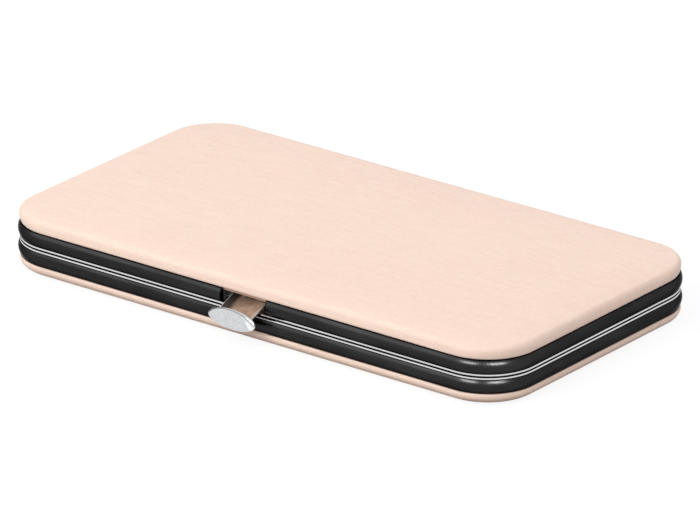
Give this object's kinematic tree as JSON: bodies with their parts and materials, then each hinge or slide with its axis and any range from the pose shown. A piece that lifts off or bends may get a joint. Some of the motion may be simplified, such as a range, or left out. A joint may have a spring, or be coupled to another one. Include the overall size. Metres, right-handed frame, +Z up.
{
  "type": "pedicure set case",
  "caption": "Slim fabric-covered clam-shell case with black bands, bright rims, a push catch, hinges at the back and pedicure tools in a tray.",
  "frame": {"origin": "centre of the flat underside, on the surface the case lies on", "axes": "+X along the length, -Y towards the catch, +Y towards the hinges, +Z up"},
  "size_m": [0.1658, 0.0962, 0.0166],
  "materials": {
    "fabric": "woven satin-faced fabric, peach",
    "band": "black, semi-gloss",
    "bright_rim": "bright nickel plate",
    "board": "grey-brown pressed board",
    "foam": "white foam sheet",
    "lining": "black velour on card",
    "tray": "black flocked tray",
    "chrome": "polished chrome plate",
    "black_steel": "blackened steel",
    "spring_steel": "spring wire",
    "tool_steel": "satin stainless steel",
    "polished_steel": "polished stainless steel",
    "file_grit": "cross-cut steel file face",
    "handle": "black moulded handle"
  },
  "bodies": {
    "base": {"base_rim": "bright_rim", "base_band": "band", "base_board": "board", "base_padding": "foam", "base_cover": "fabric", "base_hinge_leaf_left": "chrome", "base_hinge_leaf_right": "chrome", "hinge_pin_left": "polished_steel", "hinge_pin_right": "polished_steel", "base_hinge_rivets": "polished_steel", "tool_tray": "tray", "file_blade": "file_grit", "file_handle": "handle", "scissor_lower_blade": "tool_steel", "scissor_upper_blade": "tool_steel", "scissor_screw": "polished_steel", "tweezer_fixed_arm": "tool_steel", "cuticle_pusher": "tool_steel", "cuticle_trimmer": "tool_steel", "toenail_clipper_lower_jaw": "polished_steel", "toenail_clipper_lever": "polished_steel", "toenail_clipper_post": "tool_steel", "toenail_clipper_rivet": "tool_steel", "fingernail_clipper_lower_jaw": "polished_steel", "fingernail_clipper_lever": "polished_steel", "fingernail_clipper_post": "tool_steel", "fingernail_clipper_rivet": "tool_steel"},
    "lid": {"lid_rim": "bright_rim", "lid_band": "band", "lid_board": "board", "lid_padding": "foam", "lid_cover": "fabric", "lid_lining": "lining", "lid_hinge_leaf_left": "chrome", "lid_hinge_leaf_right": "chrome", "lid_hinge_rivets": "polished_steel", "catch_bracket": "black_steel", "catch_rivets": "polished_steel", "catch_pin": "polished_steel"},
    "catch": {"catch_lever": "chrome", "catch_pad": "chrome", "catch_spring": "spring_steel"},
    "toenail_jaw": {"toenail_clipper_upper_jaw": "polished_steel"},
    "fingernail_jaw": {"fingernail_clipper_upper_jaw": "polished_steel"},
    "tweezer_arm": {"tweezer_moving_arm": "tool_steel"}
  },
  "joints": [
    {"name": "lid_hinge", "type": "hinge", "parent": "base", "child": "lid", "pos_m": [0, 0.0453, 0.008], "axis": [-1, 0, 0], "range_deg": [0, 130]},
    {"name": "catch_press", "type": "hinge", "parent": "lid", "child": "catch", "pos_m": [0, -0.0406, 0.01087], "axis": [1, 0, 0], "range_deg": [0, 12], "stiffness_Nm_per_rad": 0.12, "springref_deg": -14.32, "deforming": ["catch_spring"]},
    {"name": "toenail_clipper_squeeze", "type": "hinge", "parent": "base", "child": "toenail_jaw", "pos_m": [-0.0656, -0.01234, 0.00457], "axis": [0, 1, 0], "range_deg": [0, 0.9], "stiffness_Nm_per_rad": 40},
    {"name": "fingernail_clipper_squeeze", "type": "hinge", "parent": "base", "child": "fingernail_jaw", "pos_m": [0.0356, 0.01781, 0.00457], "axis": [0, 1, 0], "range_deg": [0, 1.5], "stiffness_Nm_per_rad": 25},
    {"name": "tweezer_squeeze", "type": "hinge", "parent": "base", "child": "tweezer_arm", "pos_m": [0.0006, 0.00026, 0.00715], "axis": [0, 0, -1], "range_deg": [0, 2.2], "stiffness_Nm_per_rad": 1.2}
  ]
}
